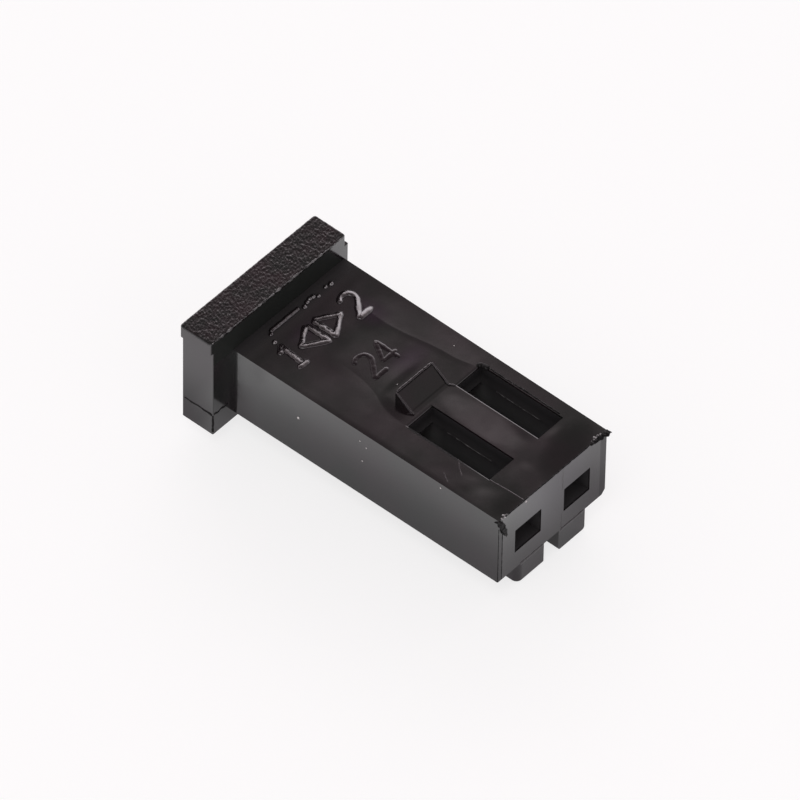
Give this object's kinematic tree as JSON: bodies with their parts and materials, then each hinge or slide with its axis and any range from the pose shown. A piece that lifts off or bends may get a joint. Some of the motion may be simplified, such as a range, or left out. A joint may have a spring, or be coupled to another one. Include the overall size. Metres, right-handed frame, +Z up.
{
  "type": "crimp connector housing",
  "caption": "Empty plastic housing for crimped wire contacts, with a pin entry to each cavity, roof windows, a locking ramp, polarising ribs and a tall collar at the wire end.",
  "frame": {"origin": "centre of the mating face, on the line through the pin entries", "axes": "+X across the circuits, +Y from the mating face to the wire end, +Z up, away from the ribs"},
  "size_m": [0.0071, 0.0133, 0.0053],
  "materials": {
    "black_plastic": "black moulded plastic, polished on the body and spark-eroded on top of the collar"
  },
  "bodies": {
    "root": {"housing": "black_plastic"}
  },
  "joints": []
}
